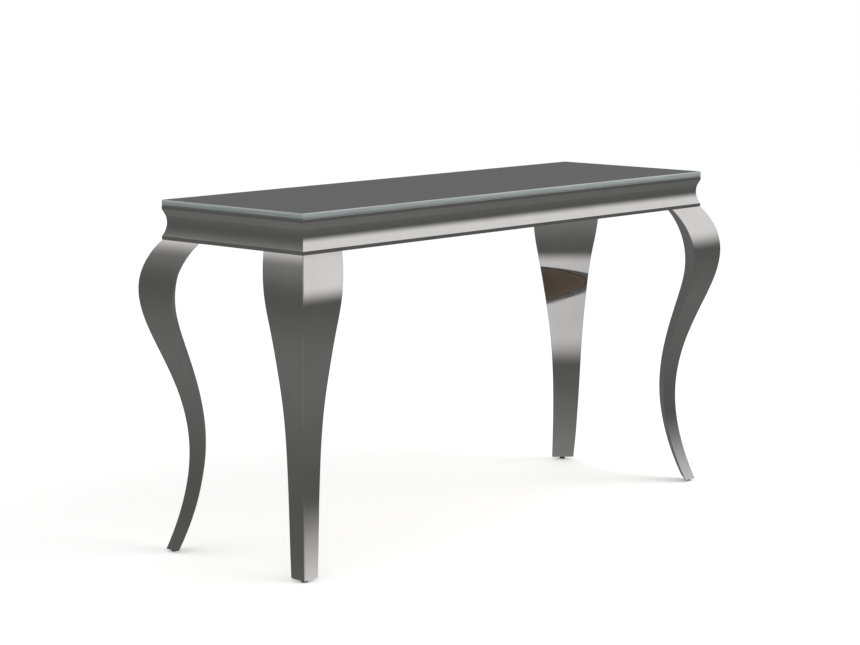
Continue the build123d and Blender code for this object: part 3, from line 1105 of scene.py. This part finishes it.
def hexagon_reach(angle, flat):
    """Distance from the centre of a hexagon to its side in a direction."""
    turn = angle % (pi / 3)
    return flat / cos(turn - pi / 6)


def glass_pad(radius, thick):
    outline = [
        (0, 0), (radius * 0.97, 0), (radius, thick * 0.25), (radius * 0.97, thick * 0.7),
        (radius * 0.85, thick), (0, thick),
    ]
    return lathe("glass_pad", outline, 28)


def repeat_group():
    """One fixing set on every point, upright along the point's own axis."""
    group, graph, given, result = new_group(
        "fixing_row", "GeometryNodeTree",
        [
            ("Points", GEOMETRY, None), ("Fixing", OBJECT, None), ("Spin", FLOAT, pi),
            ("Seed", INTEGER, 3), ("Finish", MATERIAL, None),
        ],
        [("Geometry", GEOMETRY)],
    )
    axis = graph.add(
        "GeometryNodeInputNamedAttribute", {"Name": "axis"}, data_type="FLOAT_VECTOR"
    )
    upright = graph.add(
        "FunctionNodeAlignRotationToVector", {"Vector": axis.outputs["Attribute"]}, axis="Z"
    )
    turn = graph.add("FunctionNodeRandomValue", data_type="FLOAT")
    graph.feed(turn.inputs[2], 0.0)
    graph.feed(turn.inputs[3], given["Spin"])
    graph.feed(turn.inputs["Seed"], given["Seed"])
    about = graph.add("ShaderNodeCombineXYZ", {"Z": turn.outputs[1]})
    spun = graph.add("FunctionNodeRotateRotation", rotation_space="LOCAL")
    graph.feed(spun.inputs[0], upright.outputs["Rotation"])
    graph.feed(spun.inputs[1], about.outputs["Vector"])
    shape = graph.add("GeometryNodeObjectInfo", {"Object": given["Fixing"]})
    placed = graph.add(
        "GeometryNodeInstanceOnPoints",
        {"Points": given["Points"], "Instance": shape.outputs["Geometry"],
         "Rotation": spun.outputs["Rotation"]},
    )
    real = graph.add("GeometryNodeRealizeInstances", {"Geometry": placed.outputs["Instances"]})
    smooth = graph.add(
        "GeometryNodeSetShadeSmooth", {"Geometry": real.outputs["Geometry"], "Shade Smooth": True}
    )
    painted = graph.add(
        "GeometryNodeSetMaterial",
        {"Geometry": smooth.outputs["Geometry"], "Material": given["Finish"]},
    )
    graph.feed(result["Geometry"], painted.outputs["Geometry"])
    return group


def point_mesh(name, places):
    """Loose points, each with the direction its fixing stands along."""
    mesh = bpy.data.meshes.new(name)
    mesh.from_pydata([place for place, _ in places], [], [])
    attribute = mesh.attributes.new("axis", "FLOAT_VECTOR", "POINT")
    for item, (_, direction) in zip(attribute.data, places):
        item.vector = direction
    return mesh


def fixings(name, node, group, shape, places, material, spin):
    """All the fixings of one kind as one piece that stands for its CAD node."""
    pattern = mesh_object(f"{name}_pattern", shape, [material])
    mesh = grown(
        name, point_mesh(name, places), group,
        {"Fixing": pattern, "Spin": spin, "Finish": material}, sharp_angle=radians(35),
    )
    bpy.data.objects.remove(pattern)
    item = mesh_object(name, mesh, [])
    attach(item, "table")
    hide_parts(node)


UP = (0.0, 0.0, 1.0)
LEG_BOLTS = ((44.0, 44.0), (62.0, 44.0), (44.0, 62.0))
TAB_SCREWS = (62.0, 98.0)
TAB_FACE = 34.5
PAD_COLUMNS = (-655.0, -330.0, 0.0, 330.0, 655.0)
DECK_SCREW_X = (-560.0, -280.0, 0.0, 280.0, 560.0)
CROSS_RAIL_X = (-230.0, 230.0)


def bolt_places(rise):
    z = RAIL_LOW.z + rise * MM
    return [(corner_point(corner, u, v, z), UP) for corner in CORNERS for u, v in LEG_BOLTS]


def tab_screw_places():
    z = APRON_LOW.z + 32 * MM
    places = []
    for corner in CORNERS:
        for along in TAB_SCREWS:
            places.append((
                corner_point(corner, along, TAB_FACE, z), corner_direction(corner, 0, 1, 0)
            ))
            places.append((
                corner_point(corner, TAB_FACE, along, z), corner_direction(corner, 1, 0, 0)
            ))
    return places


def deck_screw_places():
    inset = 24.5 * MM
    side = HALF_DEPTH - inset
    end = HALF_LENGTH - inset
    flat = [(x * MM, y) for x in DECK_SCREW_X for y in (-side, side)]
    flat += [(-end, 0.0), (end, 0.0)]
    flat += [(x * MM, 0.0) for x in CROSS_RAIL_X]
    return [((x, y, DECK_HIGH.z), UP) for x, y in flat]


def rail_screw_places():
    end = (RAIL_HIGH.x / MM) - 11.0
    places = []
    for x in (-end, *CROSS_RAIL_X, end):
        for rise in (14.0, 38.0):
            z = RAIL_LOW.z + rise * MM
            places.append(((x * MM, RAIL_LOW.y, z), (0.0, -1.0, 0.0)))
            places.append(((x * MM, -RAIL_LOW.y, z), (0.0, 1.0, 0.0)))
    return places


def pad_places():
    return [((x * MM, y * MM, DECK_HIGH.z), UP) for x in PAD_COLUMNS for y in (-172.0, 172.0)]


def all_fixings(materials):
    group = repeat_group()
    zinc = materials["fixing_zinc"]
    fixings("bracket_screw_heads", "bracket_screws", group,
            pan_head_screw(2.0 * MM, 3.8 * MM, 2.4 * MM, 15.8 * MM), tab_screw_places(),
            zinc, pi)
    fixings("deck_screw_set", "deck_screws", group,
            countersunk_screw(2.0 * MM, 3.9 * MM, 2.2 * MM, 31.8 * MM), deck_screw_places(),
            zinc, pi)
    fixings("rail_screw_set", "rail_screws", group,
            countersunk_screw(2.5 * MM, 4.5 * MM, 2.6 * MM, 54.8 * MM), rail_screw_places(),
            zinc, pi)
    fixings("washer_set", "leg_washers", group,
            washer(8.0 * MM, 4.2 * MM, 1.6 * MM), bolt_places(0.0), zinc, 0.0)
    fixings("nut_set", "leg_nuts", group,
            hex_nut(13.0 * MM, 4.02 * MM, 6.5 * MM), bolt_places(1.6), zinc, pi)
    fixings("silicone_buffers", "glass_pads", group,
            glass_pad(6.0 * MM, 2.0 * MM), pad_places(), materials["silicone"], 0.0)


# ==========================================================================
# Levelling feet
# ==========================================================================
def threaded_rod(corner, low, high, around=24, rows_per_turn=6):
    """Closed rod with a rolled thread, standing at a corner's foot."""
    pitch = THREAD_PITCH * MM
    centre = corner_point(corner, FOOT_INSET, FOOT_INSET, 0)
    rows = int((high - low) / pitch * rows_per_turn)
    points, faces = [], []
    for row in range(rows + 1):
        z = low + (high - low) * row / rows
        fade = min(1.0, (z - low) / pitch, (high - z) / pitch)
        for i in range(around):
            a = 2 * pi * i / around
            share = ((z / pitch) - a / (2 * pi)) % 1.0
            cut = abs(share * 2 - 1)
            radius = (STUD_RADIUS - THREAD_DEPTH * (0.15 + 0.85 * cut * fade)) * MM
            points.append((centre.x + radius * cos(a), centre.y + radius * sin(a), z))
    for row in range(rows):
        faces += ring_wall(row * around, (row + 1) * around, around)
    faces.append(tuple(reversed(range(around))))
    faces.append(tuple(range(rows * around, (rows + 1) * around)))
    return points, faces


def levelling_stud(corner, material):
    """Threaded stud with its spanner collar."""
    collar_low = PAD_HIGH.z
    collar_high = LEG_FOOT
    points, faces = threaded_rod(corner, collar_high - 0.5 * MM, STUD_HIGH.z)
    centre = corner_point(corner, FOOT_INSET, FOOT_INSET, 0)
    ease, length = 0.4 * MM, 1.6 * MM
    radius = STUD_RADIUS * MM
    pin = lathe("pin", [(0, 0), (radius - ease, 0), (radius, ease), (radius, length), (0, length)], 24)
    collar = hex_collar(COLLAR_FLATS * MM, collar_high - collar_low)
    for shape, base in ((collar, collar_low), (pin, STUD_LOW.z)):
        start = len(points)
        for vertex in shape.vertices:
            points.append((centre.x + vertex.co.x, centre.y + vertex.co.y, base + vertex.co.z))
        faces += [tuple(start + i for i in polygon.vertices) for polygon in shape.polygons]
    mesh = bpy.data.meshes.new(f"threaded_stud_{corner}")
    mesh.from_pydata(points, [], faces)
    mesh.shade_smooth()
    mesh.set_sharp_from_angle(angle=radians(32))
    stud = mesh_object(f"threaded_stud_{corner}", mesh, [material])
    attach(stud, f"levelling_stud_{corner}")
    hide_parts(f"foot_stud_{corner}")


def hex_collar(across_flats, height):
    """Solid hexagon with its corners turned down."""
    flat = across_flats / 2
    corner = across_flats / sqrt(3)
    around = 36
    points, faces = [(0, 0, 0)], []
    for z, limit in ((0, flat), (0.2, corner), (0.8, corner), (1, flat)):
        for i in range(around):
            a = 2 * pi * i / around
            reach = min(limit, hexagon_reach(a - pi / 6, flat))
            points.append((reach * cos(a), reach * sin(a), z * height))
    points.append((0, 0, height))
    last = len(points) - 1
    for i in range(around):
        k = (i + 1) % around
        faces.append((0, 1 + k, 1 + i))
        for row in range(3):
            low, high = 1 + row * around, 1 + (row + 1) * around
            faces.append((low + i, low + k, high + k, high + i))
        top = 1 + 3 * around
        faces.append((top + i, top + k, last))
    mesh = bpy.data.meshes.new("hex_collar")
    mesh.from_pydata(points, [], faces)
    return mesh


def foot_glide(corner, material):
    """Moulded nylon pad with a soft lower rim and a socket for the stud."""
    radius = PAD_RADIUS * MM
    top = PAD_HIGH.z
    outline = [
        (0, 0), (radius - 0.5 * MM, 0), (radius - 0.15 * MM, 0.15 * MM), (radius, 0.5 * MM),
        (radius, top - 0.35 * MM), (radius - 0.1 * MM, top - 0.1 * MM), (radius - 0.35 * MM, top),
        (3.05 * MM, top), (3.05 * MM, STUD_LOW.z), (0, STUD_LOW.z),
    ]
    mesh = lathe(f"glide_{corner}", outline, 40)
    centre = corner_point(corner, FOOT_INSET, FOOT_INSET, 0)
    for vertex in mesh.vertices:
        vertex.co.x += centre.x
        vertex.co.y += centre.y
    mesh.shade_smooth()
    mesh.set_sharp_from_angle(angle=radians(40))
    glide = mesh_object(f"glide_{corner}", mesh, [material])
    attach(glide, f"levelling_pad_{corner}")
    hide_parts(f"foot_pad_{corner}")


# ==========================================================================
# Finishes of the CAD parts that stay
# ==========================================================================
def paint_cad(materials):
    finishes = {"deck_board": ("deck_fibre", "board")}
    for side in ("front", "back", "left", "right"):
        finishes[f"rail_{side}"] = ("rail_fibre", "board")
    for side in ("left", "right"):
        finishes[f"cross_rail_{side}"] = ("rail_fibre", "board")
    for corner in CORNERS:
        finishes[f"corner_bracket_{corner}"] = ("bracket_zinc", "zinc_steel")
        finishes[f"leg_plate_{corner}"] = ("bracket_zinc", "zinc_steel")
    for node, (finish, slot_name) in finishes.items():
        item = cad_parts[node]
        item.data.materials.clear()
        item.data.materials.append(materials[finish])


# ==========================================================================
# Studio light, floor and camera
# ==========================================================================
# What the steel mirrors, as plain tones, and the soft boxes' places in degrees.
STUDIO_BELOW = 0.30
STUDIO_HORIZON = 0.12
STUDIO_ABOVE = 0.55
SOFTBOX_AZIMUTHS = (-60.0, 60.0, 180.0)
SOFTBOX_ELEVATION = 25.0
SOFTBOX_HALF_WIDTH = 25.0
SOFTBOX_HALF_HEIGHT = 20.0
SOFTBOX_FADE = 10.0
SOFTBOX_TONE = 0.90
AMBIENT_TONE = 0.86
BACKDROP_TONE = 1.0
KEY_PLACE = (1.8, -2.6, 3.0)
KEY_AIM = (0, 0, 0.4)
KEY_SIZE = (3.0, 2.0)
KEY_WATTS = 55
FLOOR_REACH = 80.0
FLOOR_GLOW = 0.22
CAMERA_PLACE = (-4.241, -3.715, 1.295)
CAMERA_YAW = 41.658
CAMERA_PITCH = -8.463
CAMERA_ROLL = 0.174
CAMERA_LENS = 101.96
CAMERA_SENSOR = 36.0


def faded(graph, distance, half_size):
    """One within half_size degrees of the middle, fading smoothly to nothing past it."""
    low, high = radians(half_size - SOFTBOX_FADE), radians(half_size + SOFTBOX_FADE)
    return graph.remap(graph.math("ABSOLUTE", distance), low, high, 1.0, 0.0, smooth=True)


def studio_light():
    """Plain soft studio: a smooth grey surround with three equal soft boxes evenly round it."""
    world = bpy.data.worlds.new("studio")
    bpy.context.scene.world = world
    world.use_nodes = True
    world.node_tree.nodes.clear()
    graph = Graph(world.node_tree)
    direction = graph.add("ShaderNodeTexCoord").outputs["Generated"]
    axes = graph.add("ShaderNodeSeparateXYZ", {"Vector": direction}).outputs
    elevation = graph.math("ARCSINE", axes["Z"])
    azimuth = graph.math("ARCTAN2", axes["X"], graph.math("MULTIPLY", axes["Y"], -1.0))
    below = graph.remap(elevation, -pi / 2, 0.0, 0.0, 1.0, smooth=True)
    above = graph.remap(elevation, 0.0, pi / 2, 0.0, 1.0, smooth=True)
    colour = graph.mix(below, grey(STUDIO_BELOW), grey(STUDIO_HORIZON))
    colour = graph.mix(above, colour, grey(STUDIO_ABOVE))
    rise = graph.math("SUBTRACT", elevation, radians(SOFTBOX_ELEVATION))
    for facing in SOFTBOX_AZIMUTHS:
        turn = graph.math("WRAP", graph.math("SUBTRACT", azimuth, radians(facing)), pi, -pi)
        mask = graph.math(
            "MULTIPLY", faded(graph, turn, SOFTBOX_HALF_WIDTH), faded(graph, rise, SOFTBOX_HALF_HEIGHT)
        )
        colour = graph.mix(mask, colour, grey(SOFTBOX_TONE))
    rays = graph.add("ShaderNodeLightPath").outputs
    seen = graph.mix(rays["Is Glossy Ray"], grey(AMBIENT_TONE), colour)
    seen = graph.mix(rays["Is Camera Ray"], seen, grey(BACKDROP_TONE))
    background = graph.add("ShaderNodeBackground", {"Color": seen, "Strength": 1.0})
    output = graph.add("ShaderNodeOutputWorld")
    graph.feed(output.inputs["Surface"], background.outputs["Background"])


def key_light():
    light = bpy.data.lights.new("soft_key", "AREA")
    light.shape = "RECTANGLE"
    light.size, light.size_y = KEY_SIZE
    light.energy = KEY_WATTS
    item = bpy.data.objects.new("soft_key", light)
    item.location = KEY_PLACE
    ahead = Vector(KEY_AIM) - item.location
    item.rotation_euler = ahead.to_track_quat("-Z", "Y").to_euler()
    item.visible_glossy = False
    item.visible_camera = False
    bpy.context.scene.collection.objects.link(item)


def pale_floor():
    mesh = bpy.data.meshes.new("floor")
    reach = FLOOR_REACH
    mesh.from_pydata(
        [(-reach, -reach, 0), (reach, -reach, 0), (reach, reach, 0), (-reach, reach, 0)],
        [], [(0, 1, 2, 3)],
    )
    material, graph, shader, place = new_material("pale_floor")
    tone = graph.noise(place, 0.6, 2.0)
    graph.feed(shader.inputs["Base Color"], graph.mix(tone, grey(0.90), grey(0.93)))
    graph.feed(shader.inputs["Roughness"], 0.9)
    graph.feed(shader.inputs["Specular IOR Level"], 0.0)
    graph.feed(shader.inputs["Emission Color"], grey(1.0))
    graph.feed(shader.inputs["Emission Strength"], FLOOR_GLOW)
    floor = mesh_object("floor", mesh, [material])
    floor.visible_glossy = False


def camera():
    data = bpy.data.cameras.new("camera")
    data.sensor_width = CAMERA_SENSOR
    data.lens = CAMERA_LENS
    item = bpy.data.objects.new("camera", data)
    bpy.context.scene.collection.objects.link(item)
    yaw, pitch, roll = radians(CAMERA_YAW), radians(CAMERA_PITCH), radians(CAMERA_ROLL)
    item.location = CAMERA_PLACE
    ahead = Vector((cos(pitch) * cos(yaw), cos(pitch) * sin(yaw), sin(pitch)))
    right = Vector((sin(yaw), -cos(yaw), 0))
    up = right.cross(ahead)
    tilted_right = right * cos(roll) + up * sin(roll)
    tilted_up = tilted_right.cross(ahead)
    turn = Matrix((tilted_right, tilted_up, -ahead)).transposed()
    item.rotation_euler = turn.to_euler()
    bpy.context.scene.camera = item


# ==========================================================================
# Assembly
# ==========================================================================
materials = make_materials()
paint_cad(materials)
glass_slab(materials["glass_face"], materials["glass_edge"])
apron_sides(materials["apron_steel"])
for corner in CORNERS:
    leg_skin(corner, materials["leg_steel"])
    toe(corner, materials["leg_steel"])
    levelling_stud(corner, materials["fixing_zinc"])
    foot_glide(corner, materials["nylon"])
all_fixings(materials)
studio_light()
key_light()
pale_floor()
camera()
bpy.context.scene.view_settings.view_transform = "Standard"

bpy.context.view_layer.update()
